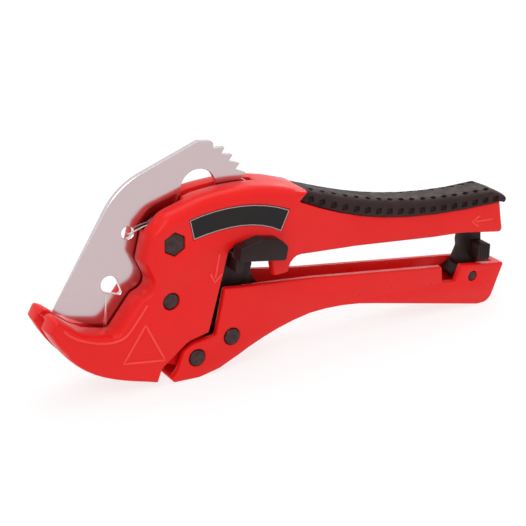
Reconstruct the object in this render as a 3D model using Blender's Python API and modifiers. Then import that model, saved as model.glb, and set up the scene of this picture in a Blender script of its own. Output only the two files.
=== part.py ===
"""Ratchet cutter for plastic pipe up to 42 mm, modelled closed and latched, as an assembly.

The cutter stands on the bottom of its head and on the end of its lower handle. X runs along it, from
the hook jaw (-X) to the handle ends (+X), Y is its thickness with the release lever at -Y, and Z is up.
Lengths below are millimetres, written as (x, z) from the blade's pivot axis, and MM turns them into
metres. Every prism lies between a near and a far Y.
"""

from math import atan2, ceil, cos, degrees, pi, radians, sin, tan

import bmesh
import bpy
from mathutils import Matrix, Vector

MM = 0.001

# Places of the axes. The blade's pivot is the origin of the side view.
PIVOT_HEIGHT = 56.596
PIVOT_SETBACK = -53.182
SIDE_SHIFT = 2.5
PIVOT = (0.0, 0.0)
STOP_PIN_AT = (-2.0, -22.4)
HANDLE_AXIS = (8.4, -47.9)
PAWL_AXIS = (23.6, -42.4)
LATCH_AXIS = (141.2, -42.9)
KEEPER_AT = (149.6, -20.4)

# Widths across Y, as half widths.
HEAD_HALF = 11.5
HANDLE_HALF = 7.8
GRIP_HALF = 8.4
GRIP_CORE_HALF = 5.0
CROWN_RADIUS = 5.0
GRIP_CROWN_RADIUS = 4.0
WALL = 2.8
FLOOR = 2.2
BODY_TAPER = (51.0, 82.0)
LOWER_TAPER = (26.0, 62.0)

# Blade.
BLADE_HALF = 1.1
SLOT_HALF = 1.9
SLOT_RADIUS = 41.6
TOOTH_TIP_RADIUS = 40.6
TOOTH_ROOT_RADIUS = 37.8
TOOTH_COUNT = 11
TOOTH_FIRST_ANGLE = 48.5
TOOTH_PITCH = 6.9
HUB_RADIUS = 16.5
BLADE_BORE = 5.3

# Round fasteners.
PIN_RADIUS = 3.25
LATCH_PIN_RADIUS = 2.0
KEEPER_RADIUS = 1.5
KEEPER_END = -5.9
BOLT_SHANK = 3.0
HEX_RADIUS = 4.6
GAP = 0.3

BODY_RED = (0.76, 0.018, 0.02, 1.0)
PLASTIC_BLACK = (0.022, 0.014, 0.014, 1.0)
RUBBER_BLACK = (0.018, 0.014, 0.014, 1.0)
STEEL_SATIN = (0.62, 0.57, 0.57, 1.0)
STEEL_DARK = (0.035, 0.035, 0.045, 1.0)
STEEL_BRIGHT = (0.55, 0.54, 0.53, 1.0)
LABEL_BLACK = (0.02, 0.018, 0.02, 1.0)


# ---------------------------------------------------------------- scene and materials


def clear_scene():
    """Removes every object of the startup scene."""
    for obj in list(bpy.data.objects):
        bpy.data.objects.remove(obj, do_unlink=True)


def new_collection(name):
    """A new collection linked to the scene."""
    collection = bpy.data.collections.new(name)
    bpy.context.scene.collection.children.link(collection)
    return collection


def finish(name, colour, roughness, metallic):
    """A Principled material with its colour, roughness and metallic value."""
    material = bpy.data.materials.new(name)
    material.use_nodes = True
    shader = material.node_tree.nodes["Principled BSDF"]
    shader.inputs["Base Color"].default_value = colour
    shader.inputs["Roughness"].default_value = roughness
    shader.inputs["Metallic"].default_value = metallic
    return material


def axis_empty(name, at):
    """An empty on a joint's axis, which the pieces that turn there are parented to."""
    empty = bpy.data.objects.new(name, None)
    empty.empty_display_size = 0.01
    empty.location = ((PIVOT_SETBACK + at[0]) * MM, SIDE_SHIFT * MM, (PIVOT_HEIGHT + at[1]) * MM)
    PARTS.objects.link(empty)
    return empty


# ---------------------------------------------------------------- outlines


def arc(centre, radius, start, end, step=12.0):
    """Points along an arc, from one angle to another in degrees."""
    count = max(2, ceil(abs(end - start) / step))
    angles = [radians(start + (end - start) * i / count) for i in range(count + 1)]
    return [(centre[0] + radius * cos(a), centre[1] + radius * sin(a)) for a in angles]


def bend(start, lean_out, lean_in, end, count=8):
    """Points along a cubic curve between two points, with its two control points."""
    points = []
    for i in range(count + 1):
        t = i / count
        weights = ((1 - t) ** 3, 3 * t * (1 - t) ** 2, 3 * t * t * (1 - t), t**3)
        corners = (start, lean_out, lean_in, end)
        points.append(tuple(sum(w * c[k] for w, c in zip(weights, corners)) for k in (0, 1)))
    return points


def rounded(corners):
    """An outline from corners (x, z) or (x, z, radius), with each given radius drawn as an arc."""
    points = []
    count = len(corners)
    for i, corner in enumerate(corners):
        here = Vector(corner[:2])
        radius = corner[2] if len(corner) > 2 else 0.0
        before = (Vector(corners[i - 1][:2]) - here).normalized()
        after = (Vector(corners[(i + 1) % count][:2]) - here).normalized()
        half = before.angle(after) / 2
        if radius == 0.0 or half > radians(88):
            points.append(tuple(here))
            continue
        centre = here + (before + after).normalized() * (radius / sin(half))
        first = here + before * (radius / tan(half)) - centre
        sweep = pi - 2 * half
        side = 1.0 if first.cross(here - centre) > 0 else -1.0
        step = 25.0 if radius < 5.0 else 8.0
        steps = max(1, ceil(degrees(sweep) / step))
        begin = atan2(first.y, first.x)
        for k in range(steps + 1):
            angle = begin + side * sweep * k / steps
            points.append((centre.x + radius * cos(angle), centre.y + radius * sin(angle)))
    return points


# ---------------------------------------------------------------- solids


def keep(mesh, name):
    """Welds a mesh, turns its faces outwards and links it as one of the parts."""
    work = bmesh.new()
    work.from_mesh(mesh)
    bmesh.ops.remove_doubles(work, verts=work.verts, dist=0.002 * MM)
    bmesh.ops.dissolve_limit(work, angle_limit=radians(0.2), verts=work.verts, edges=work.edges)
    bmesh.ops.recalc_face_normals(work, faces=work.faces)
    if work.calc_volume(signed=True) < 0.0:
        bmesh.ops.reverse_faces(work, faces=work.faces)
    work.to_mesh(mesh)
    work.free()
    obj = bpy.data.objects.new(name, mesh)
    PARTS.objects.link(obj)
    return obj


def mesh_of_curve(guide):
    """The evaluated mesh of a curve object, in world space; the curve is removed."""
    bpy.context.scene.collection.objects.link(guide)
    bpy.context.view_layer.update()
    graph = bpy.context.evaluated_depsgraph_get()
    mesh = bpy.data.meshes.new_from_object(guide.evaluated_get(graph))
    mesh.transform(guide.matrix_world)
    bpy.data.objects.remove(guide, do_unlink=True)
    return mesh


def prism(name, near, far, outline, *holes):
    """A plate between two Y planes, cut to an outline of (x, z) points, with its holes."""
    curve = bpy.data.curves.new(name, "CURVE")
    curve.dimensions = "2D"
    curve.fill_mode = "BOTH"
    curve.extrude = (far - near) / 2 * MM
    for loop in (outline, *holes):
        spline = curve.splines.new("POLY")
        spline.points.add(len(loop) - 1)
        spline.use_cyclic_u = True
        for point, (x, z) in zip(spline.points, loop):
            point.co = (x * MM, z * MM, 0.0, 1.0)
    guide = bpy.data.objects.new(name + "_outline", curve)
    guide.rotation_euler = (pi / 2, 0.0, 0.0)
    guide.location.y = (near + far) / 2 * MM
    return keep(mesh_of_curve(guide), name)


def crowned(name, half, outline, radius, share, steps=4):
    """A plate like prism's, from an anticlockwise outline, with edges rounded by share(x, z, up) of a radius.

    up is 1 where the outline faces straight up, and 0 where it faces sideways or down.
    """
    lifts = []
    for i, (x, z) in enumerate(outline):
        (x0, z0), (x1, z1) = outline[i - 1], outline[(i + 1) % len(outline)]
        along = Vector((x1 - x0, z1 - z0)).normalized()
        lifts.append(Vector((along.y, -along.x)) * share(x, z, max(0.0, -along.x)))
    work = bmesh.new()
    rings = []
    for side in (-1, 1):
        for k in range(steps + 1):
            angle = pi / 2 * (k if side < 0 else steps - k) / steps
            y = side * (half - radius * (1 - cos(angle)))
            drop = radius * (1 - sin(angle))
            ring = []
            for (x, z), lift in zip(outline, lifts):
                ring.append(work.verts.new(Vector((x - lift.x * drop, y, z - lift.y * drop)) * MM))
            rings.append(ring)
    for near, far in zip(rings[:-1], rings[1:]):
        for i in range(len(outline)):
            work.faces.new((near[i - 1], near[i], far[i], far[i - 1]))
    work.faces.new(rings[0])
    work.faces.new(reversed(rings[-1]))
    mesh = bpy.data.meshes.new(name)
    work.to_mesh(mesh)
    work.free()
    return keep(mesh, name)


def ramp(value, start, end):
    """0 before start, 1 after end, and a straight line between them."""
    return min(1.0, max(0.0, (value - start) / (end - start)))


def rod(name, at, radius, near, far, sides=28):
    """A round bar across Y. Six sides make a hexagon with a point at the top."""
    mesh = bpy.data.meshes.new(name)
    work = bmesh.new()
    length = far - near
    place = Matrix.Translation(Vector((at[0], (near + far) / 2, at[1])) * MM)
    bmesh.ops.create_cone(
        work,
        cap_ends=True,
        segments=sides,
        radius1=radius * MM,
        radius2=radius * MM,
        depth=length * MM,
        matrix=place @ Matrix.Rotation(pi / 2, 4, "X"),
    )
    work.to_mesh(mesh)
    work.free()
    return keep(mesh, name)


def wire(name, points, radius):
    """A round wire along points (x, y, z), with closed ends."""
    curve = bpy.data.curves.new(name, "CURVE")
    curve.dimensions = "3D"
    curve.bevel_depth = radius * MM
    curve.bevel_resolution = 2
    curve.use_fill_caps = True
    spline = curve.splines.new("POLY")
    spline.points.add(len(points) - 1)
    for point, (x, y, z) in zip(spline.points, points):
        point.co = (x * MM, y * MM, z * MM, 1.0)
    return keep(mesh_of_curve(bpy.data.objects.new(name + "_path", curve)), name)


def coil(at, radius, near, far, turns, start, steps=14):
    """Points of a helix round an axis along Y, from the near end to the far end."""
    total = int(turns * steps)
    points = []
    for i in range(total + 1):
        angle = radians(start) + 2 * pi * i / steps
        y = near + (far - near) * i / total
        points.append((at[0] + radius * cos(angle), y, at[1] + radius * sin(angle)))
    return points


def shape_with(piece, operation, tool):
    """Adds a Boolean modifier that uses a helper, which moves to the helpers' collection."""
    PARTS.objects.unlink(tool)
    HELPERS.objects.link(tool)
    tool.hide_render = True
    tool.display_type = "WIRE"
    tool.parent = FRAME
    modifier = piece.modifiers.new(tool.name, "BOOLEAN")
    modifier.operation = operation
    modifier.solver = "EXACT"
    modifier.object = tool


def cut(piece, *tools):
    """Takes each tool away from the piece."""
    for tool in tools:
        shape_with(piece, "DIFFERENCE", tool)


def add(piece, *tools):
    """Joins each tool to the piece."""
    for tool in tools:
        shape_with(piece, "UNION", tool)


def soften(piece, width, segments=2, angle=40.0):
    """Rounds the sharp edges of a piece."""
    modifier = piece.modifiers.new("soft_edges", "BEVEL")
    modifier.width = width * MM
    modifier.segments = segments
    modifier.limit_method = "ANGLE"
    modifier.angle_limit = radians(angle)
    modifier.use_clamp_overlap = True


def taper(piece, start_half, end_half, span):
    """Narrows a piece across Y between two places along X, keeping flat faces flat."""
    work = bmesh.new()
    work.from_mesh(piece.data)
    for x in span:
        geometry = [*work.verts, *work.edges, *work.faces]
        bmesh.ops.bisect_plane(
            work, geom=geometry, plane_co=(x * MM, 0, 0), plane_no=(1, 0, 0), dist=1e-7
        )
    for vert in work.verts:
        share = (vert.co.x / MM - span[0]) / (span[1] - span[0])
        share = min(1.0, max(0.0, share))
        vert.co.y *= 1.0 + (end_half / start_half - 1.0) * share
    work.to_mesh(piece.data)
    work.free()


def mount(piece, material, parent):
    """Gives a piece its material, smooth shading and the empty that it moves with."""
    piece.data.materials.clear()
    piece.data.materials.append(material)
    piece.data.shade_smooth()
    piece.data.set_sharp_from_angle(angle=radians(35))
    piece.parent = parent
    offset = FRAME.location - parent.location
    piece.location = offset
    return piece


# ---------------------------------------------------------------- side-view outlines


def body_outline():
    """Side view of the casting: hook jaw, head and the upper handle up to the grip's lower edge."""
    jaw_outside = bend((-50.9, -25.2), (-41.6, -45.6), (-29.3, -49.3), (-8.1, -54.9), 12)
    return rounded(
        [
            (-46.0, -21.2),
            (-48.4, -20.4, 1.6),
            *jaw_outside,
            (-5.9, -49.4, 3.0),
            (5.2, -41.0, 4.0),
            (14.2, -39.0, 1.6),
            (23.4, -6.6, 2.0),
            (39.8, -7.6, 2.5),
            (42.0, -21.8, 1.6),
            (49.2, -21.4, 1.6),
            (50.6, -15.0, 4.5),
            (78.9, -18.1),
            (120.4, -22.0),
            (134.2, -22.8, 30.0),
            (156.6, -26.4, 2.0),
            *reversed(grip_lower_edge()),
            (54.4, 6.5),
            *reversed(bend((11.3, 15.6), (24.0, 17.2), (41.0, 17.8), (58.3, 10.1), 10)),
            (-3.6, 11.2, 8.0),
            (-9.4, 5.0, 4.0),
            (-12.2, -6.0, 2.5),
            (-7.4, -16.8, 4.5),
            (-14.4, -19.2, 3.0),
            (-24.4, -31.6, 2.5),
            (-37.0, -28.6, 14.0),
        ]
    )


def grip_lower_edge():
    """The step in the handle that the grip's lower edge rests on, from left to right."""
    return bend((54.8, 6.2), (80.0, -6.4), (104.0, -13.0), (153.2, -11.9), 8)


def grip_top():
    """The crest of the grip, from left to right."""
    return bend((58.7, 10.0), (76.0, 4.4), (100.0, -6.8), (149.5, -6.2), 10)


def grip_outline():
    """Side view of the grip, which wraps the top of the upper handle."""
    lower = [(x, z + GAP) for x, z in grip_lower_edge()]
    return rounded([*lower, (155.6, -12.4, 0.8), (156.9, -9.6, 2.0), *reversed(grip_top())])


def handle_core_outline(inset):
    """The narrow rib of the handle under the grip, with its crest a given depth below the grip's."""
    crest = [(x, z - inset) for x, z in grip_top()[1:]]
    return [(50.0, 9.0), *crest, (152.0, -14.0), (100.0, -14.0), (56.0, 0.0)]


def blade_outline():
    """Side view of the closed blade: spine, toothed sector, hub and cutting edge."""
    teeth = []
    for i in range(TOOTH_COUNT):
        angle = radians(TOOTH_FIRST_ANGLE - i * TOOTH_PITCH)
        root = radians(TOOTH_FIRST_ANGLE - i * TOOTH_PITCH + 6.0)
        teeth.append((TOOTH_ROOT_RADIUS * cos(root), TOOTH_ROOT_RADIUS * sin(root)))
        teeth.append((TOOTH_TIP_RADIUS * cos(angle), TOOTH_TIP_RADIUS * sin(angle)))
    last = TOOTH_FIRST_ANGLE - TOOTH_COUNT * TOOTH_PITCH + 4.0
    sector_end = (TOOTH_ROOT_RADIUS * cos(radians(last)), TOOTH_ROOT_RADIUS * sin(radians(last)))
    hub = arc(PIVOT, HUB_RADIUS, last + 2.0, -97.0)
    return rounded(
        [
            (-45.4, -21.4),
            (-17.5, 22.3, 28.0),
            (15.6, 34.5, 3.0),
            (22.4, 33.6, 1.8),
            *teeth,
            sector_end,
            *hub,
            (-12.6, -24.4, 3.0),
            (-24.6, -33.6, 1.5),
        ]
    )


def blade_holes():
    """Side views of the blade's bore, its two round holes and its tapering hole."""
    return (
        arc(PIVOT, BLADE_BORE, 0, 345, 15),
        arc((15.3, 16.4), 7.4, 0, 345, 15),
        arc((-14.2, 3.9), 2.6, 0, 330, 30),
        arc((-22.4, -14.9), 3.4, 19.6, 250.4) + arc((-18.6, -18.7), 1.1, -109.6, 19.6),
    )


def slot_outline():
    """Side view of the gap between the cheeks where the blade swings."""
    return [
        (-60.0, -16.0),
        (-46.2, -23.4),
        (-25.2, -34.9),
        *arc(PIVOT, SLOT_RADIUS, -112.0, 66.0),
        (-20.0, 50.0),
    ]


def lower_handle_belly():
    """The hollow that the fingers take under the lower handle, from left to right."""
    return bend((18.2, -54.8), (40.0, -44.6), (64.0, -38.0), (93.3, -45.3), 10)


def lower_handle_outline():
    """Side view of the lower handle's walls."""
    return rounded(
        [
            (-1.4, -56.2, 0.8),
            (9.4, -56.6, 9.0),
            *lower_handle_belly(),
            (118.3, -50.8),
            (144.6, -56.6, 1.0),
            (150.8, -56.4, 5.5),
            (157.6, -39.9, 0.8),
            (103.5, -32.7),
            (70.4, -28.6),
            (21.0, -22.0, 1.2),
            (16.9, -40.6, 1.0),
            (7.4, -42.0, 3.0),
            (2.9, -44.4, 2.5),
            (0.2, -51.8, 2.0),
            (-2.4, -54.6, 0.8),
        ]
    )


def lower_channel_outline():
    """Side view of the hollow between the lower handle's walls, open at the top and at the nose."""
    floor = [(x, z + FLOOR) for x, z in lower_handle_belly()]
    return rounded(
        [
            (-12.0, -53.6),
            (9.4, -54.2),
            *floor,
            (118.0, -48.3),
            (143.8, -53.8),
            (148.6, -53.2, 1.5),
            (153.4, -38.0),
            (153.4, -10.0),
            (-12.0, -10.0),
        ]
    )


def upper_channel_outline():
    """Side view of the hollow under the upper handle, between its walls."""
    return rounded(
        [
            (47.2, -30.0),
            (47.2, -8.0, 3.0),
            (60.0, -1.4, 4.0),
            (84.0, -8.2),
            (104.0, -12.8),
            (124.0, -14.9),
            (152.2, -14.9, 2.0),
            (152.2, -40.0),
        ]
    )


def label_outline(margin):
    """Side view of the arched label, grown by a margin."""
    m = margin
    top = bend((6.4 - m, 8.2 + m), (20.0, 11.6 + m), (36.0, 11.0 + m), (49.0 + m, 4.6 + m))
    bottom = bend((45.4 + m, -3.2 - m), (35.0, 3.2 - m), (22.0, 3.4 - m), (8.0 - m, 0.4 - m))
    return [*top, *bottom]


# ---------------------------------------------------------------- body group


def casting_rounding(x, z, up):
    """The casting's share of rounding: full on the crown, broad round the throat, none under the grip."""
    if x > 50.0 and -13.6 < z < 6.4:
        return 0.0
    round_throat = -46.5 < x < -5.0 and z > -34.5
    return max(0.42 if round_throat else 0.2, ramp(z, 6.0, 10.0) * up)


def grip_rounding(x, z, up):
    """The grip's share of rounding: full at its left end, and squarer towards the handle's end."""
    return (1.0 - 0.7 * ramp(x, 118.0, 150.0)) * up


def build_body():
    """The casting: two cheeks round the blade's slot, and a handle that is hollow underneath."""
    body = crowned("body_casting", HEAD_HALF, body_outline(), CROWN_RADIUS, casting_rounding)
    taper(body, HEAD_HALF, HANDLE_HALF, BODY_TAPER)
    core = prism("handle_core", -GRIP_CORE_HALF, GRIP_CORE_HALF, handle_core_outline(2.8))
    tongue = prism("pin_tongue", -7.6, 4.4, tongue_outline())
    add(body, core, tongue)
    slot = prism("blade_slot", -SLOT_HALF, SLOT_HALF, slot_outline())
    channel = prism("handle_hollow", WALL - HANDLE_HALF, HANDLE_HALF - WALL, upper_channel_outline())
    groove_side = [(-60, -20), (-47.6, -22.4), (-44.0, -31.0), (-33.0, -46.6), (-60, -50)]
    groove = prism("jaw_groove", -3.2, 3.2, groove_side)
    spring_pocket = rod("spring_pocket", PIVOT, 8.6, -5.4, 0.0)
    leg_pocket = prism("leg_pocket", -4.2, 0.0, [(0, 0), *arc(PIVOT, 26.0, 62.0, 152.0)])
    bolt_seat = rod("bolt_seat", PIVOT, HEX_RADIUS + GAP, -14.0, -7.8, sides=6)
    bolt_hole = rod("bolt_hole", PIVOT, BOLT_SHANK + GAP, -14.0, 14.0)
    bush_hole = rod("bush_hole", PIVOT, BLADE_BORE, -3.0, 3.0)
    nut_seat = rod("nut_seat", PIVOT, 5.6, 6.6, 14.0)
    stop_hole = rod("stop_hole", STOP_PIN_AT, PIN_RADIUS + GAP, -14.0, 14.0)
    tongue_hole = rod("tongue_hole", HANDLE_AXIS, 4.9, -14.0, 14.0)
    keeper_hole = rod("keeper_hole", KEEPER_AT, KEEPER_RADIUS + GAP, KEEPER_END - GAP, 14.0)
    label_seat = prism("label_seat", -14.0, 0.9 - HEAD_HALF, label_outline(GAP))
    lug_side = [(34.0, -40.0), (48.0, -40.0), (48.0, -9.4), (34.0, -9.4)]
    lug_hollow = prism("lug_hollow", WALL - HEAD_HALF, HEAD_HALF - WALL, lug_side)
    cut(body, slot, channel, lug_hollow, groove, spring_pocket, leg_pocket)
    cut(body, bolt_seat, bolt_hole, bush_hole, nut_seat, stop_hole)
    cut(body, tongue_hole, keeper_hole, label_seat)
    mount(body, RED, FRAME)


def tongue_outline():
    """Side view of the tongue between the lower handle's walls, which carries the handle's pin."""
    return [
        *arc(HANDLE_AXIS, 6.0, -118.0, 40.0),
        (13.0, -36.0),
        (-6.0, -36.0),
        (-9.0, -46.0),
    ]


def build_grip():
    """The rubber grip, a sleeve that is open underneath and fits the handle's rib."""
    grip = crowned("handle_grip", GRIP_HALF, grip_outline(), GRIP_CROWN_RADIUS, grip_rounding)
    rib = prism(
        "grip_hollow", -GRIP_CORE_HALF - GAP, GRIP_CORE_HALF + GAP, handle_core_outline(2.8 - GAP)
    )
    cut(grip, rib)
    mount(grip, RUBBER, FRAME)


def build_label():
    """The plain label on the near cheek."""
    label = prism("label_plate", 0.1 - HEAD_HALF, 0.6 - HEAD_HALF, label_outline(0.0))
    mount(label, LABEL, FRAME)


# ---------------------------------------------------------------- blade group


def build_blade():
    """The blade, ground to an edge along its lower side."""
    blade = prism("blade", -BLADE_HALF, BLADE_HALF, blade_outline(), *blade_holes())
    mount(blade, SATIN, BLADE_EMPTY)


def build_blade_spring():
    """The wire spring that opens the blade: a coil round the pivot, with a leg hooked in the blade."""
    turns = coil(PIVOT, 6.9, -4.6, -2.4, 2.0, 110.0)
    leg = [(-8.4, -2.3, 5.6), (-13.0, -2.3, 4.2), (-14.3, -1.9, 3.8), (-14.6, -0.6, 3.8)]
    spring = wire("blade_return_spring", turns + leg, 0.5)
    mount(spring, BRIGHT, BLADE_EMPTY)


def build_pivot():
    """The bush that the blade turns on, with the bolt, washer and nut that hold it."""
    bush = rod("pivot_bush", PIVOT, BLADE_BORE - GAP, -2.7, 2.7)
    cut(bush, rod("pivot_bush_bore", PIVOT, BOLT_SHANK + GAP, -9.0, 9.0))
    mount(bush, BRIGHT, FRAME)
    bolt = rod("pivot_bolt", PIVOT, BOLT_SHANK, -9.0, 10.6)
    add(bolt, rod("bolt_head", PIVOT, HEX_RADIUS, -11.2, -8.1, sides=6))
    mount(bolt, DARK, FRAME)
    washer = rod("pivot_washer", PIVOT, 5.2, 6.9, 7.7)
    cut(washer, rod("pivot_washer_bore", PIVOT, BOLT_SHANK + GAP, 0.0, 14.0))
    mount(washer, BRIGHT, FRAME)
    nut = rod("pivot_nut", PIVOT, HEX_RADIUS, 8.0, 11.2, sides=6)
    cut(nut, rod("pivot_nut_bore", PIVOT, BOLT_SHANK + GAP, 0.0, 14.0))
    mount(nut, DARK, FRAME)


def build_stop_pin():
    """The pin across the cheeks that stops the blade at both ends of its swing."""
    mount(rod("stop_pin", STOP_PIN_AT, PIN_RADIUS, -11.2, 11.2), DARK, FRAME)


# ---------------------------------------------------------------- lower handle group


def ring(name, at, bore, radius, near, far, material, parent):
    """A turned ring across Y."""
    piece = rod(name, at, radius, near, far)
    cut(piece, rod(name + "_bore", at, bore, near - 2.0, far + 2.0))
    mount(piece, material, parent)


def build_lower_handle():
    """The lower handle, a channel that is open at the top, with its pins."""
    handle = prism("lower_handle", -HEAD_HALF, HEAD_HALF, lower_handle_outline())
    taper(handle, HEAD_HALF, HANDLE_HALF, LOWER_TAPER)
    soften(handle, 1.2)
    hollow = prism("lower_hollow", WALL - HEAD_HALF, HEAD_HALF - WALL, lower_channel_outline())
    taper(hollow, HEAD_HALF - WALL, HANDLE_HALF - WALL, LOWER_TAPER)
    pin_hole = rod("handle_pin_hole", HANDLE_AXIS, PIN_RADIUS + GAP, -14.0, 14.0)
    pawl_hole = rod("pawl_pin_hole", PAWL_AXIS, PIN_RADIUS + GAP, -14.0, 14.0)
    latch_hole = rod("latch_pin_hole", LATCH_AXIS, LATCH_PIN_RADIUS + GAP, -14.0, 14.0)
    notch_side = [(124.4, -30.0), (125.4, -42.5), (132.6, -43.5), (135.4, -36.7), (137.0, -30.0)]
    notch = prism("latch_notch", -14.0, 0.0, notch_side)
    cut(handle, hollow, notch, pin_hole, pawl_hole, latch_hole)
    mount(handle, RED, HANDLE_EMPTY)


def build_handle_pins():
    """The two long pins with their rings, the bush in the tongue and the opening spring."""
    mount(rod("handle_pivot_pin", HANDLE_AXIS, PIN_RADIUS, -12.0, 13.2), DARK, HANDLE_EMPTY)
    mount(rod("pawl_pin", PAWL_AXIS, PIN_RADIUS, -12.0, 13.2), DARK, HANDLE_EMPTY)
    ring("handle_pin_ring", HANDLE_AXIS, PIN_RADIUS + 0.2, 5.0, 11.8, 12.7, BRIGHT, HANDLE_EMPTY)
    ring("pawl_pin_ring", PAWL_AXIS, PIN_RADIUS + 0.2, 5.0, 11.8, 12.7, BRIGHT, HANDLE_EMPTY)
    ring("handle_pivot_bush", HANDLE_AXIS, PIN_RADIUS + GAP, 4.6, -7.5, 4.3, BRIGHT, FRAME)
    turns = coil(HANDLE_AXIS, 4.6, 5.2, 7.8, 2.5, 30.0)
    mount(wire("handle_opening_spring", turns, 0.45), BRIGHT, HANDLE_EMPTY)


# ---------------------------------------------------------------- ratchet group


def build_pawl():
    """The steel pawl, whose point works on the blade's teeth."""
    outline = [
        *arc(PAWL_AXIS, 4.9, 160.0, 350.0),
        (41.6, -29.0),
        (37.1, -21.3),
        (31.6, -27.2),
    ]
    bore = arc(PAWL_AXIS, PIN_RADIUS + GAP, 0, 345, 15)
    pawl = prism("ratchet_pawl", -BLADE_HALF, BLADE_HALF, outline, bore)
    mount(pawl, DARK, PAWL_EMPTY)


def build_release_lever():
    """The plastic lever beside the pawl, with the thumb pad that stands out of the near cheek."""
    arm = [
        *arc(PAWL_AXIS, 5.4, 165.0, 345.0),
        (29.2, -25.4),
        (34.5, -19.5, 1.0),
        (35.4, -16.6),
        (35.2, -10.8, 1.0),
        (24.6, -10.4, 1.0),
        (21.4, -22.0, 2.0),
    ]
    lever = prism("release_lever", -6.0, -2.0, rounded(arm))
    neck_side = rounded([(24.4, -16.0, 1.0), (27.8, -16.0, 1.0), (28.4, -8.6), (25.2, -8.6)])
    neck = prism("lever_neck", -13.0, -5.0, neck_side)
    pad_side = rounded(
        [
            (23.4, -9.5, 0.8),
            (43.9, -12.8, 1.0),
            (45.0, -7.4, 1.8),
            (42.0, -4.2, 3.0),
            (34.0, -2.5, 5.0),
            (24.2, -4.5, 0.8),
        ]
    )
    pad = prism("thumb_pad", -18.2, -HEAD_HALF - GAP, pad_side)
    soften(pad, 0.6)
    bore = rod("lever_bore", PAWL_AXIS, PIN_RADIUS + GAP, -14.0, 14.0)
    add(lever, neck, pad)
    cut(lever, bore)
    mount(lever, BLACK, PAWL_EMPTY)


def build_pawl_spring():
    """The coil that presses the pawl against the teeth."""
    turns = coil(PAWL_AXIS, 4.4, 1.9, 5.6, 3.0, 60.0)
    mount(wire("pawl_spring", turns, 0.45), BRIGHT, PAWL_EMPTY)


# ---------------------------------------------------------------- latch group


def build_latch():
    """The latch that holds the handles shut, with its ridged tab, its pin and its cross pin."""
    side = rounded(
        [
            *arc(LATCH_AXIS, 4.4, -170.0, -10.0),
            (147.0, -36.0, 1.5),
            (148.8, -31.0, 1.0),
            (148.4, -24.2, 1.0),
            (144.8, -22.6, 1.0),
            (144.6, -19.6),
            (146.6, -18.6, 0.8),
            (144.6, -16.0, 1.2),
            (140.6, -16.4, 1.2),
            (138.4, -28.6, 1.5),
            (138.8, -31.4, 1.5),
            (136.4, -36.6, 1.0),
        ]
    )
    latch = prism("latch", -2.3, 2.3, side)
    tab_side = [(142.4, -35.6, 1.0), (148.9, -36.7, 1.0), (149.1, -29.5, 1.0), (143.0, -28.5, 1.0)]
    tab = prism("latch_tab", -8.6, -1.3, rounded(tab_side))
    foot_side = [*arc(LATCH_AXIS, 4.6, -160.0, 60.0), (138.6, -37.4, 1.0), (131.8, -41.6, 1.0)]
    foot = prism("latch_foot", -4.4, 4.4, rounded(foot_side))
    add(latch, tab, foot)
    cut(latch, rod("latch_bore", LATCH_AXIS, LATCH_PIN_RADIUS + GAP, -14.0, 14.0))
    mount(latch, BLACK, LATCH_EMPTY)
    mount(rod("latch_pin", LATCH_AXIS, LATCH_PIN_RADIUS, -7.6, 7.6), DARK, HANDLE_EMPTY)
    mount(rod("latch_keeper_pin", KEEPER_AT, KEEPER_RADIUS, KEEPER_END, 7.5), BRIGHT, FRAME)


# ---------------------------------------------------------------- build

clear_scene()
PARTS = new_collection("pvc_pipe_cutter")
HELPERS = new_collection("cutters")

RED = finish("red_paint", BODY_RED, 0.32, 0.0)
BLACK = finish("black_plastic", PLASTIC_BLACK, 0.42, 0.0)
RUBBER = finish("black_rubber", RUBBER_BLACK, 0.7, 0.0)
SATIN = finish("satin_blade_steel", STEEL_SATIN, 0.22, 1.0)
DARK = finish("blackened_steel", STEEL_DARK, 0.35, 1.0)
BRIGHT = finish("bright_steel", STEEL_BRIGHT, 0.3, 1.0)
LABEL = finish("label_print", LABEL_BLACK, 0.35, 0.0)

FRAME = axis_empty("cutter_frame", PIVOT)
BLADE_EMPTY = axis_empty("blade_axis", PIVOT)
HANDLE_EMPTY = axis_empty("lower_handle_axis", HANDLE_AXIS)
PAWL_EMPTY = axis_empty("pawl_axis", PAWL_AXIS)
LATCH_EMPTY = axis_empty("latch_axis", LATCH_AXIS)

build_body()
build_grip()
build_label()
build_blade()
build_blade_spring()
build_pivot()
build_stop_pin()
build_lower_handle()
build_handle_pins()
build_pawl()
build_release_lever()
build_pawl_spring()
build_latch()
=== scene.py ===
"""Looks of a ratchet cutter for plastic pipe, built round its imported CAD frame.

Lengths in the classes below are millimetres. Places on the side view are written as (x, z) from the
blade's pivot axis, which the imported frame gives, and `SideView` turns them into metres in the frame.
"""

import logging
from contextlib import contextmanager
from dataclasses import dataclass
from enum import Enum
from math import cos, radians, sin
from typing import Callable, Iterator, Sequence

import bpy
from mathutils import Matrix, Vector
from mathutils.bvhtree import BVHTree


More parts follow.
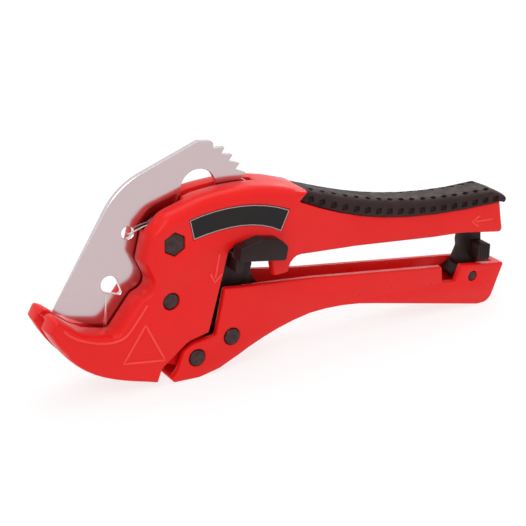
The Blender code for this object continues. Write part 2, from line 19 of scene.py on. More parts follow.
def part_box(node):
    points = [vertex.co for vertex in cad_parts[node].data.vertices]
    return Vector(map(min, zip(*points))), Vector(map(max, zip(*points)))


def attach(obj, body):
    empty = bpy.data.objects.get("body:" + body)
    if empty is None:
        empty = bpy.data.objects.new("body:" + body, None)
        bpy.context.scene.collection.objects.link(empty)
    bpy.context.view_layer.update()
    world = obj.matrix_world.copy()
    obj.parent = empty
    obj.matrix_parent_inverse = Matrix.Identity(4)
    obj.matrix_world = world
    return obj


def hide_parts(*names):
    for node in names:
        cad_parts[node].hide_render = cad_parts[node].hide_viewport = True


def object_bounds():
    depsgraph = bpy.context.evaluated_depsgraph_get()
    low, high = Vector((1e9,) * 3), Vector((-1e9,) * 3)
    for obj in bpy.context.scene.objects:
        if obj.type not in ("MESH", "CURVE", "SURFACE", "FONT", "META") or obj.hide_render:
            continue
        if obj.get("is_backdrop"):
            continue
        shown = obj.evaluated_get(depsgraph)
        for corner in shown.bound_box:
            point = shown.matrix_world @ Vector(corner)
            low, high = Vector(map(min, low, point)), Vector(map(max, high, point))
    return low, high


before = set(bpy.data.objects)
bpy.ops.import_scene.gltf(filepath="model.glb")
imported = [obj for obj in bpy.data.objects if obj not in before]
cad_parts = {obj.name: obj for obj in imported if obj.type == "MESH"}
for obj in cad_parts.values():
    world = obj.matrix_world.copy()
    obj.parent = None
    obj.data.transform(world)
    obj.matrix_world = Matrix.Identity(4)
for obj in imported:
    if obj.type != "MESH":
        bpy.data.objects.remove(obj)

logging.basicConfig(level=logging.INFO, format="%(name)s: %(message)s")
LOG = logging.getLogger("pipe_cutter")

MM = 0.001
Point = tuple[float, float]
Colour = tuple[float, float, float, float]


class Body(Enum):
    """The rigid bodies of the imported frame."""

    FRAME = "frame"
    BLADE = "blade"
    LOWER_HANDLE = "lower_handle"
    PAWL = "pawl"
    LATCH = "latch"


class Slot(Enum):
    """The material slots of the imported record."""

    PAINT = "red_paint"
    RUBBER = "black_rubber"
    LABEL = "label"
    BLADE = "satin_blade_steel"
    BRIGHT = "bright_steel"
    DARK = "dark_steel"
    PLASTIC = "black_plastic"


# ---------------------------------------------------------------- finishes


class Nodes:
    """A material's node tree, with short ways to add what every finish here needs."""

    def __init__(self, name: str) -> None:
        """Starts a material.

        Args:
            name: the material's name.
        """
        self.material = bpy.data.materials.new(name)
        self.material.use_nodes = True
        self.tree = self.material.node_tree
        self.shader = self.tree.nodes["Principled BSDF"]
        self.place = self.tree.nodes.new("ShaderNodeTexCoord").outputs["Object"]

    def link(self, output: bpy.types.NodeSocket, target: bpy.types.NodeSocket) -> None:
        """Joins two sockets.

        Args:
            output: where the value comes from.
            target: the socket that takes it.
        """
        self.tree.links.new(output, target)

    def stretched(self, scale: tuple[float, float, float], turn: float = 0.0) -> bpy.types.NodeSocket:
        """Object coordinates, turned about Y and stretched.

        Args:
            scale: the factor along each axis.
            turn: the turn about Y, in degrees.

        Returns:
            The vector socket.
        """
        mapping = self.tree.nodes.new("ShaderNodeMapping")
        mapping.inputs["Scale"].default_value = scale
        mapping.inputs["Rotation"].default_value = (0.0, radians(turn), 0.0)
        self.link(self.place, mapping.inputs["Vector"])
        return mapping.outputs["Vector"]

    def noise(
        self, scale: float, detail: float = 3.0, vector: bpy.types.NodeSocket | None = None
    ) -> bpy.types.NodeSocket:
        """A noise pattern.

        Args:
            scale: how many features there are to a metre.
            detail: how many finer layers it has.
            vector: where it is read, or None for plain object coordinates.

        Returns:
            The pattern's value socket.
        """
        node = self.tree.nodes.new("ShaderNodeTexNoise")
        node.inputs["Scale"].default_value = scale
        node.inputs["Detail"].default_value = detail
        self.link(vector or self.place, node.inputs["Vector"])
        return node.outputs["Fac"]

    def spread(self, value: bpy.types.NodeSocket, low: float, high: float) -> bpy.types.NodeSocket:
        """A pattern's middle range spread between two values.

        Args:
            value: the pattern.
            low: the value at the range's low end.
            high: the value at its high end.

        Returns:
            The result's socket.
        """
        node = self.tree.nodes.new("ShaderNodeMapRange")
        node.inputs["From Min"].default_value = 0.3
        node.inputs["From Max"].default_value = 0.7
        node.inputs["To Min"].default_value = low
        node.inputs["To Max"].default_value = high
        self.link(value, node.inputs["Value"])
        return node.outputs["Result"]

    def between(self, value: bpy.types.NodeSocket, first: Colour, second: Colour) -> bpy.types.NodeSocket:
        """A colour that a pattern's middle range takes from one colour to another.

        Args:
            value: the pattern.
            first: the colour at the range's low end.
            second: the colour at its high end.

        Returns:
            The colour's socket.
        """
        node = self.tree.nodes.new("ShaderNodeValToRGB")
        node.color_ramp.elements[0].position = 0.3
        node.color_ramp.elements[0].color = first
        node.color_ramp.elements[1].position = 0.7
        node.color_ramp.elements[1].color = second
        self.link(value, node.inputs["Fac"])
        return node.outputs["Color"]

    def bump(
        self, value: bpy.types.NodeSocket, strength: float, height: float, round_edge: float = 0.0
    ) -> None:
        """Roughens the surface by a pattern.

        Args:
            value: the pattern.
            strength: from 0 to 1.
            height: the relief's height in millimetres.
            round_edge: the radius in millimetres that sharp edges are shaded with.
        """
        node = self.tree.nodes.new("ShaderNodeBump")
        node.inputs["Strength"].default_value = strength
        node.inputs["Distance"].default_value = height * MM
        self.link(value, node.inputs["Height"])
        self.link(node.outputs["Normal"], self.shader.inputs["Normal"])
        if round_edge:
            rounded = self.tree.nodes.new("ShaderNodeBevel")
            rounded.samples = 8
            rounded.inputs["Radius"].default_value = round_edge * MM
            self.link(rounded.outputs["Normal"], node.inputs["Normal"])

    def set(self, **values: float) -> None:
        """Sets the shader's own sockets.

        Args:
            **values: a value for each socket, by its name with underscores for spaces.
        """
        for name, value in values.items():
            self.shader.inputs[name.replace("_", " ")].default_value = value


@dataclass(frozen=True)
class PowderPaint:
    """Glossy powder paint on a casting: a faint orange peel and slight changes of tone."""

    name: str
    colour: Colour
    deeper: Colour
    slot: Slot = Slot.PAINT
    round_edge: float = 0.8

    def material(self) -> bpy.types.Material:
        """The paint as a material."""
        nodes = Nodes(self.name)
        tone = nodes.noise(38.0, 2.0)
        nodes.link(nodes.between(tone, self.deeper, self.colour), nodes.shader.inputs["Base Color"])
        nodes.link(nodes.spread(nodes.noise(160.0), 0.27, 0.38), nodes.shader.inputs["Roughness"])
        nodes.bump(nodes.noise(750.0, 2.0), 0.16, 0.05, self.round_edge)
        nodes.set(Metallic=0.0, Specular_IOR_Level=0.22, IOR=1.5)
        return nodes.material


@dataclass(frozen=True)
class Moulded:
    """Moulded black plastic or rubber with a fine grain."""

    name: str
    colour: Colour
    paler: Colour
    slot: Slot
    roughness: tuple[float, float]
    grain: float
    relief: float

    def material(self) -> bpy.types.Material:
        """The plastic or rubber as a material."""
        nodes = Nodes(self.name)
        tone = nodes.noise(60.0, 4.0)
        nodes.link(nodes.between(tone, self.colour, self.paler), nodes.shader.inputs["Base Color"])
        nodes.link(nodes.spread(nodes.noise(220.0), *self.roughness), nodes.shader.inputs["Roughness"])
        nodes.bump(nodes.noise(self.grain, 4.0), 0.35, self.relief)
        nodes.set(Metallic=0.0, Specular_IOR_Level=0.2, IOR=1.48)
        return nodes.material


@dataclass(frozen=True)
class GroundSteel:
    """Bare or blackened steel, with the fine lines of grinding or turning along one direction."""

    name: str
    colour: Colour
    paler: Colour
    slot: Slot
    roughness: tuple[float, float]
    lines: tuple[float, float, float]
    turn: float = 0.0
    metallic: float = 1.0

    def material(self) -> bpy.types.Material:
        """The steel as a material."""
        nodes = Nodes(self.name)
        streaks = nodes.noise(1.0, 3.0, nodes.stretched(self.lines, self.turn))
        nodes.link(nodes.between(streaks, self.colour, self.paler), nodes.shader.inputs["Base Color"])
        nodes.link(nodes.spread(streaks, *self.roughness), nodes.shader.inputs["Roughness"])
        nodes.bump(streaks, 0.05, 0.005)
        nodes.set(Metallic=self.metallic)
        return nodes.material


RED_PAINT = PowderPaint("red_powder_paint", (0.74, 0.0095, 0.0080, 1.0), (0.69, 0.0080, 0.0070, 1.0))
# The raised marks get a paler red than the casting. This is a painted highlight that stands in for the
# light caught on their bead edges.
MARK_HIGHLIGHT_PAINT = PowderPaint(
    "raised_mark_painted_highlight", (0.86, 0.060, 0.050, 1.0), (0.80, 0.040, 0.034, 1.0), round_edge=0.0
)
GRIP_RUBBER = Moulded(
    "moulded_rubber", (0.022, 0.009, 0.009, 1.0), (0.034, 0.015, 0.015, 1.0),
    Slot.RUBBER, (0.50, 0.66), 1900.0, 0.06,
)
LEVER_PLASTIC = Moulded(
    "moulded_plastic", (0.014, 0.0055, 0.0055, 1.0), (0.022, 0.009, 0.009, 1.0),
    Slot.PLASTIC, (0.34, 0.46), 2600.0, 0.03,
)
BLADE_STEEL = GroundSteel(
    "ground_blade_steel", (0.565, 0.455, 0.470, 1.0), (0.585, 0.472, 0.487, 1.0),
    Slot.BLADE, (0.13, 0.16), (40.0, 40.0, 2600.0), 28.0,
)
EDGE_STEEL = GroundSteel(
    "honed_edge_steel", (0.72, 0.66, 0.67, 1.0), (0.82, 0.77, 0.78, 1.0),
    Slot.BLADE, (0.20, 0.30), (2600.0, 40.0, 40.0), 28.0,
)
SPRING_STEEL = GroundSteel(
    "drawn_wire_steel", (0.42, 0.41, 0.40, 1.0), (0.62, 0.60, 0.58, 1.0),
    Slot.BRIGHT, (0.24, 0.36), (300.0, 900.0, 300.0),
)
BLACK_STEEL = GroundSteel(
    "black_oxide_steel", (0.040, 0.022, 0.022, 1.0), (0.075, 0.046, 0.046, 1.0),
    Slot.DARK, (0.32, 0.46), (500.0, 120.0, 500.0), metallic=0.85,
)
LABEL_FILM = Moulded(
    "label_film", (0.009, 0.007, 0.007, 1.0), (0.013, 0.010, 0.010, 1.0),
    Slot.LABEL, (0.24, 0.32), 900.0, 0.01,
)
SILVER_INK = GroundSteel(
    "silver_ink", (0.36, 0.32, 0.32, 1.0), (0.50, 0.45, 0.45, 1.0),
    Slot.LABEL, (0.30, 0.42), (900.0, 900.0, 900.0), metallic=0.8,
)
Finish = PowderPaint | Moulded | GroundSteel


# ---------------------------------------------------------------- modelling


class SideView:
    """Turns places on the side view into metres in the frame."""

    def __init__(self) -> None:
        """Reads the blade's pivot from the frame."""
        low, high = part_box("pivot_bush")
        self.pivot = (low + high) / 2

    def at(self, x: float, z: float, y: float) -> Vector:
        """A point in metres.

        Args:
            x: millimetres along the tool from the pivot.
            z: millimetres above the pivot.
            y: the place across the tool, in metres in the frame.

        Returns:
            The point in the frame.
        """
        return Vector((self.pivot.x + x * MM, y, self.pivot.z + z * MM))


class Bench:
    """The modelling steps that the sub-assemblies share."""

    @staticmethod
    def pick(*pieces: bpy.types.Object) -> None:
        """Selects these pieces only, and makes the first one active.

        Args:
            *pieces: the objects to select.
        """
        bpy.ops.object.select_all(action="DESELECT")
        for piece in pieces:
            piece.select_set(True)
        bpy.context.view_layer.objects.active = pieces[0]

    @staticmethod
    @contextmanager
    def editing(piece: bpy.types.Object) -> Iterator[None]:
        """Edit mode on one piece, with all of it selected.

        Args:
            piece: the mesh object to shape.

        Yields:
            Nothing; edit mode ends with the block.
        """
        Bench.pick(piece)
        bpy.ops.object.mode_set(mode="EDIT")
        bpy.ops.mesh.select_all(action="SELECT")
        try:
            yield
        finally:
            bpy.ops.object.mode_set(mode="OBJECT")

    @staticmethod
    def choose_faces(piece: bpy.types.Object, rule: Callable[[bpy.types.MeshPolygon], bool]) -> None:
        """Selects the faces that a rule accepts, from object mode.

        Args:
            piece: the mesh object.
            rule: says whether a face is chosen.
        """
        for element in (*piece.data.vertices, *piece.data.edges):
            element.select = False
        for face in piece.data.polygons:
            face.select = bool(rule(face))

    @staticmethod
    def apply(piece: bpy.types.Object, kind: str, **settings) -> None:
        """Adds a modifier with its settings and applies it.

        Args:
            piece: the object to change.
            kind: the modifier's type.
            **settings: its properties.
        """
        Bench.pick(piece)
        modifier = piece.modifiers.new(kind.lower(), kind)
        for name, value in settings.items():
            setattr(modifier, name, value)
        bpy.ops.object.modifier_apply(modifier=modifier.name)

    @staticmethod
    def smooth(piece: bpy.types.Object, angle: float = 38.0) -> None:
        """Smooth shading that keeps sharp edges sharp.

        Args:
            piece: the object to shade.
            angle: the angle in degrees over which an edge is sharp.
        """
        Bench.pick(piece)
        bpy.ops.object.shade_smooth_by_angle(angle=radians(angle))

    @staticmethod
    def soften(piece: bpy.types.Object, width: float, segments: int = 2, angle: float = 30.0) -> None:
        """Rounds a piece's sharp edges.

        Args:
            piece: the object to change.
            width: the rounding's width in millimetres.
            segments: how many faces the rounding has.
            angle: the angle in degrees over which an edge is rounded.
        """
        Bench.apply(
            piece, "BEVEL", width=width * MM, segments=segments, limit_method="ANGLE",
            angle_limit=radians(angle), use_clamp_overlap=True, miter_outer="MITER_ARC",
        )

    @staticmethod
    def copy_of(node: str, name: str) -> bpy.types.Object:
        """A CAD node's shape as a new piece, with its loose triangles joined into whole faces.

        Args:
            node: the CAD node.
            name: the new piece's name.

        Returns:
            The new mesh object, with no material.
        """
        piece = bpy.data.objects.new(name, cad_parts[node].data.copy())
        bpy.context.scene.collection.objects.link(piece)
        piece.data.materials.clear()
        Bench.pick(piece)
        if piece.data.has_custom_normals:
            bpy.ops.mesh.customdata_custom_splitnormals_clear()
        with Bench.editing(piece):
            bpy.ops.mesh.remove_doubles(threshold=0.01 * MM)
            bpy.ops.mesh.dissolve_limited(angle_limit=radians(0.6))
        return piece

    @staticmethod
    def bead(name: str, points: Sequence[Vector], width: float, closed: bool = False) -> bpy.types.Object:
        """A raised bead along points, round in section.

        Args:
            name: the piece's name.
            points: its middle line, in metres.
            width: its half width in millimetres.
            closed: whether it runs back to its start.

        Returns:
            The new mesh object.
        """
        curve = bpy.data.curves.new(name, "CURVE")
        curve.dimensions = "3D"
        curve.bevel_depth = width * MM
        curve.bevel_resolution = 3
        curve.use_fill_caps = True
        spline = curve.splines.new("POLY")
        spline.points.add(len(points) - 1)
        spline.use_cyclic_u = closed
        for point, place in zip(spline.points, points):
            point.co = (*place, 1.0)
        piece = bpy.data.objects.new(name, curve)
        bpy.context.scene.collection.objects.link(piece)
        Bench.pick(piece)
        bpy.ops.object.convert(target="MESH")
        with Bench.editing(piece):
            bpy.ops.mesh.remove_doubles(threshold=0.001 * MM)
            bpy.ops.mesh.normals_make_consistent(inside=False)
        Bench.smooth(piece, 50.0)
        return piece

    @staticmethod
    def joined(name: str, pieces: Sequence[bpy.types.Object]) -> bpy.types.Object:
        """Several meshes made one piece.

        Args:
            name: the piece's name.
            pieces: the meshes to join.

        Returns:
            The joined mesh object.
        """
        Bench.pick(*pieces)
        bpy.ops.object.join()
        piece = bpy.context.object
        piece.name = name
        return piece

    @staticmethod
    def repeat(master: bpy.types.Object, places: Sequence[Matrix], name: str) -> bpy.types.Object:
        """Copies of one modelled shape at many places, joined, with the master removed.

        Args:
            master: the shape, modelled round the origin.
            places: a matrix for each copy.
            name: the joined piece's name.

        Returns:
            The joined mesh object.
        """
        copies = []
        for place in places:
            mesh = master.data.copy()
            mesh.transform(place)
            copy = bpy.data.objects.new(name, mesh)
            bpy.context.scene.collection.objects.link(copy)
            copies.append(copy)
        bpy.data.objects.remove(master)
        return Bench.joined(name, copies)

    @staticmethod
    def dress(
        piece: bpy.types.Object,
        body: Body,
        finish: Finish,
        nodes: Sequence[str] = (),
        trim: Finish | None = None,
    ) -> bpy.types.Object:
        """Gives a piece its finish and its body, and hides the CAD nodes that it stands for.

        Args:
            piece: the finished shape.
            body: the body that it rides on.
            finish: its main finish.
            nodes: the CAD nodes that it replaces.
            trim: a second finish, for faces with material index 1.

        Returns:
            The piece.
        """
        for surface in (finish, trim):
            if surface:
                piece.data.materials.append(Paintbox.of(surface))
        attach(piece, body.value)
        if nodes:
            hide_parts(*nodes)
        LOG.info("%s rides on %s, %d faces", piece.name, body.value, len(piece.data.polygons))
        return piece


class Paintbox:
    """Each finish's material, made once."""

    made: dict[str, bpy.types.Material] = {}

    @classmethod
    def of(cls, finish: Finish) -> bpy.types.Material:
        """The material of a finish.

        Args:
            finish: the finish to look up.

        Returns:
            Its material, made on first use.
        """
        if finish.name not in cls.made:
            cls.made[finish.name] = finish.material()
        return cls.made[finish.name]


class Surface:
    """The outside of a piece, asked for points and directions."""

    def __init__(self, piece: bpy.types.Object) -> None:
        """Reads the piece's mesh.

        Args:
            piece: the mesh object.
        """
        mesh = piece.data
        faces = [tuple(face.vertices) for face in mesh.polygons]
        self.tree = BVHTree.FromPolygons([vertex.co for vertex in mesh.vertices], faces)

    def hit(self, start: Vector, direction: Vector) -> tuple[Vector, Vector] | None:
        """Where a line first meets the piece.

        Args:
            start: a point outside.
            direction: the way the line runs.

        Returns:
            The point and the outward normal there, or None.
        """
        point, normal, _, _ = self.tree.ray_cast(start, direction)
        if point is None:
            return None
        return point, normal if normal.dot(direction) < 0 else -normal


def standing_on(point: Vector, normal: Vector, along: Vector, turn: float = 0.0) -> Matrix:
    """A place on a surface: X along the row, Z out of the surface.

    Args:
        point: the place in metres.
        normal: the way out of the surface.
        along: the row's direction.
        turn: a turn about the normal, in degrees.

    Returns:
        The matrix.
    """
    side = normal.cross(along).normalized()
    ahead = side.cross(normal).normalized()
    base = Matrix((ahead, side, normal)).transposed().to_4x4()
    return Matrix.Translation(point) @ base @ Matrix.Rotation(radians(turn), 4, "Z")


# ---------------------------------------------------------------- sub-assemblies


@dataclass
class Casting:
    """The painted casting, with the raised marks on its near side."""

    view: SideView
    edge: float = 0.28
    mark_height: float = 0.42
    mark_width: float = 0.46
    mark_step: float = 1.5
    clear_of: float = 10.0
    lip: tuple[Point, ...] = (
        (-45.6, -24.6), (-43.5, -26.9), (-40.3, -29.2), (-36.6, -31.0), (-32.6, -32.5),
        (-29.9, -33.1), (-26.8, -33.6), (-24.3, -33.5), (-22.4, -33.1), (-20.6, -32.2),
        (-18.6, -30.2), (-13.6, -24.0), (-12.0, -21.6),
    )
    triangle: tuple[Point, ...] = ((-12.9, -29.6), (-22.4, -43.2), (-5.2, -45.6))
    down_arrow: tuple[Point, ...] = ((18.6, -7.1), (16.6, -16.6))
    down_head: tuple[Point, ...] = ((14.6, -14.4), (16.3, -18.4), (19.6, -15.6))
    left_arrow: tuple[Point, ...] = ((149.8, -18.9), (141.0, -18.5))
    left_head: tuple[Point, ...] = ((143.2, -16.2), (139.4, -18.4), (142.8, -20.8))

    def build(self) -> None:
        """Makes the casting and its marks."""
        casting = Bench.copy_of("body_casting", "painted_casting")
        self.surface = Surface(casting)
        Bench.soften(casting, self.edge)
        Bench.smooth(casting)
        Bench.dress(casting, Body.FRAME, RED_PAINT, ["body_casting"])
        marks = {
            "throat_bead": (self.lip, False),
            "raised_triangle": (self.triangle, True),
            "opening_arrow_shaft": (self.down_arrow, False),
            "opening_arrow_head": (self.down_head, False),
            "latch_arrow_shaft": (self.left_arrow, False),
            "latch_arrow_head": (self.left_head, False),
        }
        for name, (line, closed) in marks.items():
            self.mark(name, line, closed)

    def mark(self, name: str, line: Sequence[Point], closed: bool) -> None:
        """A raised line on the near side.

        Args:
            name: the piece's name.
            line: its corners on the side view.
            closed: whether it runs back to its start.
        """
        corners = [Vector(corner) for corner in line]
        if closed:
            corners.append(corners[0])
        places = []
        for start, end in zip(corners[:-1], corners[1:]):
            steps = max(2, round((end - start).length / self.mark_step))
            places += [start.lerp(end, i / steps) for i in range(steps)]
        if not closed:
            places.append(corners[-1])
        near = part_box("body_casting")[0].y - self.clear_of * MM
        points = []
        for x, z in places:
            found = self.surface.hit(self.view.at(x, z, near), Vector((0.0, 1.0, 0.0)))
            if found:
                points.append(found[0] + found[1] * (self.mark_height - self.mark_width) * MM)
        # Each mark is coloured with the paler red, which is a painted highlight on the bead.
        Bench.dress(Bench.bead(name, points, self.mark_width, closed), Body.FRAME, MARK_HIGHLIGHT_PAINT)


@dataclass
class GripSleeve:
    """The rubber sleeve, with rows of pockets along its two sides and its two shoulders."""

    first: float = 0.055
    last: float = 0.945
    count: int = 18
    pocket: tuple[float, float, float] = (3.2, 2.6, 2.2)
    notch: tuple[float, float, float] = (3.4, 2.0, 2.2)
    slant: float = 32.0
    edge: float = 0.5
    clear_of: float = 20.0
    clear_beside: float = 30.0
    pocket_level: float = 0.36
    pocket_inset: float = 0.4
    notch_lead: float = 2.4
    notch_out: float = 0.62
    notch_fall: float = 1.1
    narrowing: float = 0.78

    def build(self) -> None:
        """Makes the sleeve and cuts its rows."""
        sleeve = Bench.copy_of("handle_grip", "grip_sleeve")
        Bench.soften(sleeve, self.edge, 3, 50.0)
        Bench.apply(sleeve, "TRIANGULATE")
        pockets, notches = self.rows(Surface(sleeve))
        for name, size, places in (("pockets", self.pocket, pockets), ("notches", self.notch, notches)):
            cutter = Bench.repeat(self.tool(name, size), places, name)
            Bench.apply(sleeve, "BOOLEAN", operation="DIFFERENCE", solver="EXACT", object=cutter)
            bpy.data.objects.remove(cutter)
        Bench.smooth(sleeve, 32.0)
        Bench.dress(sleeve, Body.FRAME, GRIP_RUBBER, ["handle_grip"])

    def rows(self, surface: Surface) -> tuple[list[Matrix], list[Matrix]]:
        """The places of the pockets and of the notches.

        Args:
            surface: the sleeve's outside.

        Returns:
            The pockets' matrices and the notches' matrices.
        """
        low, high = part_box("handle_grip")
        middle = (low.y + high.y) / 2
        half = (high.y - low.y) / 2
        clear = self.clear_of * MM
        along = Vector((1.0, 0.0, 0.0))
        pockets, notches = [], []
        for side in (-1.0, 1.0):
            edge_line = middle + side * (half - self.pocket_inset * MM)
            for i in range(self.count):
                share = self.first + (self.last - self.first) * i / (self.count - 1)
                x = low.x + (high.x - low.x) * share
                top = surface.hit(Vector((x, middle, high.z + clear)), Vector((0, 0, -1)))
                foot = surface.hit(Vector((x, edge_line, low.z - clear)), Vector((0, 0, 1)))
                if not (top and foot):
                    continue
                level = foot[0].z + self.pocket_level * (top[0].z - foot[0].z)
                beside = Vector((x, middle + side * self.clear_beside * MM, level))
                flank = surface.hit(beside, Vector((0, -side, 0)))
                reach = Vector((0.0, -side, -self.notch_fall)).normalized()
                over = Vector((x + self.notch_lead * MM, middle + side * self.notch_out * half, top[0].z))
                shoulder = surface.hit(over - reach * clear, reach)
                if flank:
                    pockets.append(standing_on(flank[0], flank[1], along))
                if shoulder:
                    notches.append(standing_on(shoulder[0], shoulder[1], along, -side * self.slant))
        return pockets, notches

    def tool(self, name: str, size: tuple[float, float, float]) -> bpy.types.Object:
        """A block with rounded corners whose lower face narrows, for one pocket.

        Args:
            name: the helper's name.
            size: length, width and height in millimetres.

        Returns:
            The block, round the origin.
        """
        bpy.ops.object.select_all(action="DESELECT")
        bpy.ops.mesh.primitive_cube_add(size=MM, location=(0.0, 0.0, 0.0))
        block = bpy.context.object
        block.name = name
        for vertex in block.data.vertices:
            narrow = self.narrowing if vertex.co.z < 0 else 1.0
            x, y, z = vertex.co
            vertex.co = Vector((x * size[0] * narrow, y * size[1] * narrow, z * size[2]))
        Bench.soften(block, 0.2, 1)
        return block


@dataclass
class LabelPanel:
    """The plain label: a black film with a silver line round its edge."""

    line: float = 0.26
    film: float = 0.12
    step: float = 0.05

    def build(self) -> None:
        """Makes the label."""
        panel = Bench.copy_of("label_plate", "cheek_label")
        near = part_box("label_plate")[0].y
        flush = 0.05 * MM
        Bench.choose_faces(panel, lambda face: face.normal.y < -0.9 and abs(face.center.y - near) < flush)
        Bench.pick(panel)
        bpy.ops.object.mode_set(mode="EDIT")
        bpy.ops.mesh.inset(thickness=self.line * MM, depth=0.0)
        bpy.ops.mesh.inset(thickness=self.step * MM, depth=-self.film * MM)
        bpy.ops.object.mode_set(mode="OBJECT")
        for face in panel.data.polygons:
            face.material_index = 0 if face.select and len(face.vertices) > 4 else 1
        Bench.smooth(panel, 30.0)
        Bench.dress(panel, Body.FRAME, LABEL_FILM, ["label_plate"], SILVER_INK)


@dataclass
class BladeSet:
    """The blade, with its ground edge and bevelled spine, and its return spring."""

    view: SideView
    tip: Point = (-45.4, -21.4)
    heel: Point = (-24.6, -33.6)
    grind_top: Point = (-24.5, -15.4)
    edge_half: float = 0.16
    bevel: float = 0.3
    edge_reach: float = 0.25
    end_reach: float = 0.3
    wire_slimming: float = 0.12

    def build(self) -> None:
        """Makes the blade and its spring."""
        blade = Bench.copy_of("blade", "ground_blade")
        tip, heel, top = (self.view.at(*place, 0.0) for place in (self.tip, self.heel, self.grind_top))
        self.split(blade, tip, top - tip)
        low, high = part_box("blade")
        middle = (low.y + high.y) / 2
        along = (heel - tip).normalized()
        for vertex in blade.data.vertices:
            flat = Vector((vertex.co.x, 0.0, vertex.co.z))
            away = (flat - tip) - along * (flat - tip).dot(along)
            reach = self.end_reach * MM
            inside = -reach < (flat - tip).dot(along) < (heel - tip).length + reach
            if inside and away.length < self.edge_reach * MM:
                side = 1.0 if vertex.co.y > middle else -1.0
                vertex.co.y = middle + side * self.edge_half * MM
        with Bench.editing(blade):
            bpy.ops.mesh.quads_convert_to_tris()
            bpy.ops.mesh.dissolve_limited(angle_limit=radians(0.3))
        Bench.soften(blade, self.bevel, 1, 60.0)
        for face in blade.data.polygons:
            face.material_index = 0 if abs(face.normal.y) > 0.995 else 1
        Bench.smooth(blade, 20.0)
        Bench.dress(blade, Body.BLADE, BLADE_STEEL, ["blade"], EDGE_STEEL)
        wire = Bench.copy_of("blade_return_spring", "return_spring_wire")
        Bench.apply(wire, "DISPLACE", strength=-self.wire_slimming * MM, mid_level=0.0)
        Bench.smooth(wire, 60.0)
        Bench.dress(wire, Body.BLADE, SPRING_STEEL, ["blade_return_spring"])

    @staticmethod
    def split(blade: bpy.types.Object, start: Vector, line: Vector) -> None:
        """Adds an edge line across the blade's two faces.

        Args:
            blade: the blade.
            start: a point on the line.
            line: the line's direction on the side view.
        """
        across = Vector((-line.z, 0.0, line.x)).normalized()
        with Bench.editing(blade):
            bpy.ops.mesh.bisect(plane_co=start, plane_no=across)


@dataclass
class PlainPart:
    """A small part whose CAD shape is right, with its edges rounded."""

    node: str
    name: str
    body: Body
    finish: Finish
    edge: float = 0.0
    segments: int = 2
    smooth: float = 40.0

    def build(self) -> None:
        """Makes the part."""
        piece = Bench.copy_of(self.node, self.name)
        if self.edge:
            Bench.soften(piece, self.edge, self.segments)
        Bench.smooth(piece, self.smooth)
        Bench.dress(piece, self.body, self.finish, [self.node])


PLAIN_PARTS = (
    PlainPart("lower_handle", "painted_lower_handle", Body.LOWER_HANDLE, RED_PAINT, 0.28),
    PlainPart("pivot_bolt", "hex_pivot_bolt", Body.FRAME, BLACK_STEEL, 0.45),
    PlainPart("pivot_washer", "pivot_washer_ring", Body.FRAME, SPRING_STEEL, 0.15),
    PlainPart("pivot_nut", "hex_pivot_nut", Body.FRAME, BLACK_STEEL, 0.4),
    PlainPart("pivot_bush", "turned_pivot_bush", Body.FRAME, SPRING_STEEL, 0.2),
    PlainPart("stop_pin", "head_stop_pin", Body.FRAME, BLACK_STEEL, 0.55, 3),
    PlainPart("handle_pivot_bush", "turned_handle_bush", Body.FRAME, SPRING_STEEL, 0.2),
    PlainPart("latch_keeper_pin", "latch_cross_pin", Body.FRAME, SPRING_STEEL, 0.3),
    PlainPart("handle_pivot_pin", "long_handle_pin", Body.LOWER_HANDLE, BLACK_STEEL, 0.55, 3),
    PlainPart("pawl_pin", "long_pawl_pin", Body.LOWER_HANDLE, BLACK_STEEL, 0.55, 3),
    PlainPart("handle_pin_ring", "handle_pin_clip", Body.LOWER_HANDLE, SPRING_STEEL, 0.12),
    PlainPart("pawl_pin_ring", "pawl_pin_clip", Body.LOWER_HANDLE, SPRING_STEEL, 0.12),
    PlainPart("latch_pin", "latch_hinge_pin", Body.LOWER_HANDLE, BLACK_STEEL, 0.4),
    PlainPart("handle_opening_spring", "opening_spring_wire", Body.LOWER_HANDLE, SPRING_STEEL, smooth=60.0),
    PlainPart("ratchet_pawl", "hardened_pawl", Body.PAWL, BLACK_STEEL, 0.2),
    PlainPart("pawl_spring", "pawl_spring_wire", Body.PAWL, SPRING_STEEL, smooth=60.0),
)


@dataclass
class ReleaseLever:
    """The release lever, with fine ribs along the front of its thumb pad."""

    view: SideView
    ribs: int = 5
    start: float = 27.6
    end: float = 34.2
    radius: float = 0.3
    sunk: float = 0.12
    steps: int = 8
    above: float = 20.0
    first: float = 0.16
    spread: float = 0.68

    def build(self) -> None:
        """Makes the lever and its ribs."""
        lever = Bench.copy_of("release_lever", "thumb_lever")
        Bench.soften(lever, 0.45, 3, 45.0)
        surface = Surface(lever)
        Bench.smooth(lever)
        Bench.dress(lever, Body.PAWL, LEVER_PLASTIC, ["release_lever"])
        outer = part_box("release_lever")[0].y
        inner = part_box("body_casting")[0].y
        ribs = []
        for i in range(self.ribs):
            y = outer + (inner - outer) * (self.first + self.spread * i / (self.ribs - 1))
            points = []
            for step in range(self.steps + 1):
                x = self.start + (self.end - self.start) * step / self.steps
                found = surface.hit(self.view.at(x, self.above, y), Vector((0.0, 0.0, -1.0)))
                if found:
                    points.append(found[0] - found[1] * self.sunk * MM)
            if len(points) > 1:
                ribs.append(Bench.bead("pad_rib", points, self.radius))
        Bench.dress(Bench.joined("thumb_pad_ribs", ribs), Body.PAWL, LEVER_PLASTIC)


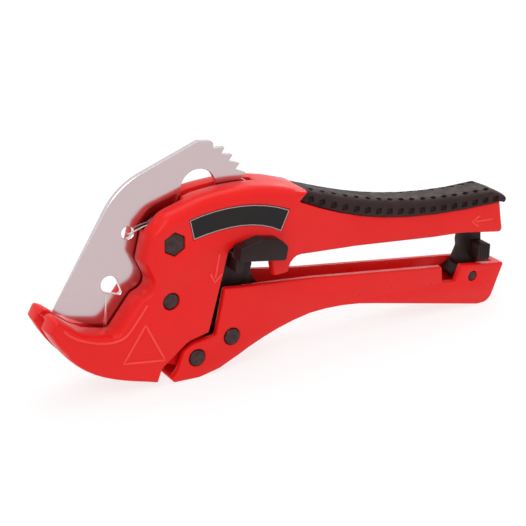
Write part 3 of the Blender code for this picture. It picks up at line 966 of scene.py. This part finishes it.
@dataclass
class LatchSet:
    """The latch, with four upright ribs on its tab."""

    ribs: int = 4
    radius: float = 0.42
    margin: float = 0.9
    pitch: float = 1.25
    sunk: float = 0.16
    steps: int = 24
    clear_of: float = 5.0
    flush: float = 0.3

    def build(self) -> None:
        """Makes the latch and its ribs."""
        latch = Bench.copy_of("latch", "moulded_latch")
        Bench.soften(latch, 0.4, 3, 40.0)
        surface = Surface(latch)
        Bench.smooth(latch)
        Bench.dress(latch, Body.LATCH, LEVER_PLASTIC, ["latch"])
        low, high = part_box("latch")
        ribs = []
        near = low.y - self.clear_of * MM
        for i in range(self.ribs):
            points = []
            x = high.x - self.margin * MM - i * self.pitch * MM
            for step in range(self.steps + 1):
                z = low.z + (high.z - low.z) * step / self.steps
                found = surface.hit(Vector((x, near, z)), Vector((0.0, 1.0, 0.0)))
                if found and found[0].y < low.y + self.flush * MM:
                    points.append(found[0] + Vector((0.0, self.sunk * MM, 0.0)))
            if len(points) > 1:
                ribs.append(Bench.bead("tab_rib", points, self.radius))
        Bench.dress(Bench.joined("latch_tab_ribs", ribs), Body.LATCH, LEVER_PLASTIC)


# ---------------------------------------------------------------- studio


@dataclass(frozen=True)
class SoftLight:
    """A square soft light that faces the tool."""

    name: str
    place: tuple[float, float, float]
    side: float
    watts: float

    def build(self, target: Vector) -> None:
        """Adds the light.

        Args:
            target: the point that it faces.
        """
        light = bpy.data.lights.new(self.name, "AREA")
        light.size = self.side
        light.energy = self.watts
        lamp = bpy.data.objects.new(self.name, light)
        lamp.location = self.place
        lamp.rotation_euler = (target - lamp.location).to_track_quat("-Z", "Y").to_euler()
        bpy.context.scene.collection.objects.link(lamp)


@dataclass
class Studio:
    """The pale floor, the soft lights and the camera."""

    azimuth: float = -30.0
    elevation: float = 22.0
    distance: float = 0.6253
    lens: float = 109.5
    target: tuple[float, float, float] = (-0.009224, 0.0025, 0.036491)
    sky: float = 0.82
    floor_size: float = 8.0
    floor_glow: float = 0.78
    lights: tuple[SoftLight, ...] = (
        SoftLight("key_light", (-0.45, -0.55, 0.75), 0.45, 2.6),
        SoftLight("top_light", (0.10, 0.15, 0.90), 0.60, 2.4),
        SoftLight("rim_light", (0.60, 0.50, 0.45), 0.35, 1.0),
    )

    def build(self) -> None:
        """Sets up the stage."""
        self.floor()
        world = bpy.data.worlds.new("studio_sky")
        world.use_nodes = True
        back = world.node_tree.nodes["Background"]
        back.inputs["Color"].default_value = (1.0, 1.0, 1.0, 1.0)
        back.inputs["Strength"].default_value = self.sky
        bpy.context.scene.world = world
        for light in self.lights:
            light.build(Vector(self.target))
        self.camera()
        bpy.context.scene.view_settings.view_transform = "Standard"

    def floor(self) -> None:
        """A wide pale floor at the tool's lowest point, which glows faintly so that shadows stay soft."""
        bpy.ops.object.select_all(action="DESELECT")
        bpy.ops.mesh.primitive_plane_add(size=self.floor_size, location=(0.0, 0.0, CAD_BOX[0].z))
        floor = bpy.context.object
        floor.name = "studio_floor"
        nodes = Nodes("pale_floor")
        tone = nodes.noise(6.0, 2.0)
        pale = nodes.between(tone, (0.20, 0.20, 0.20, 1.0), (0.22, 0.22, 0.22, 1.0))
        nodes.link(pale, nodes.shader.inputs["Base Color"])
        nodes.shader.inputs["Emission Color"].default_value = (1.0, 1.0, 1.0, 1.0)
        nodes.set(Roughness=0.9, Specular_IOR_Level=0.0, Emission_Strength=self.floor_glow)
        floor.data.materials.append(nodes.material)
        floor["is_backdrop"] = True

    def camera(self) -> None:
        """The camera, which looks along the tool's near side from in front and above."""
        a, e = radians(self.azimuth), radians(self.elevation)
        back = Vector((sin(a) * cos(e), -cos(a) * cos(e), sin(e)))
        lens = bpy.data.cameras.new("studio_camera")
        lens.lens = self.lens
        lens.sensor_width = 36.0
        camera = bpy.data.objects.new("studio_camera", lens)
        camera.location = Vector(self.target) + back * self.distance
        camera.rotation_euler = back.to_track_quat("Z", "Y").to_euler()
        bpy.context.scene.collection.objects.link(camera)
        bpy.context.scene.camera = camera


def corners(box: tuple[Vector, Vector]) -> list[list[float]]:
    """A box as plain lists of numbers.

    Args:
        box: its low and high corners.

    Returns:
        The two corners.
    """
    return [[float(value) for value in corner] for corner in box]


CAD_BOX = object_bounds()


def main() -> None:
    """Builds the stage and every sub-assembly."""
    view = SideView()
    Studio().build()
    Casting(view).build()
    GripSleeve().build()
    LabelPanel().build()
    BladeSet(view).build()
    for part in PLAIN_PARTS:
        part.build()
    ReleaseLever(view).build()
    LatchSet().build()


if __name__ == "__main__":
    main()
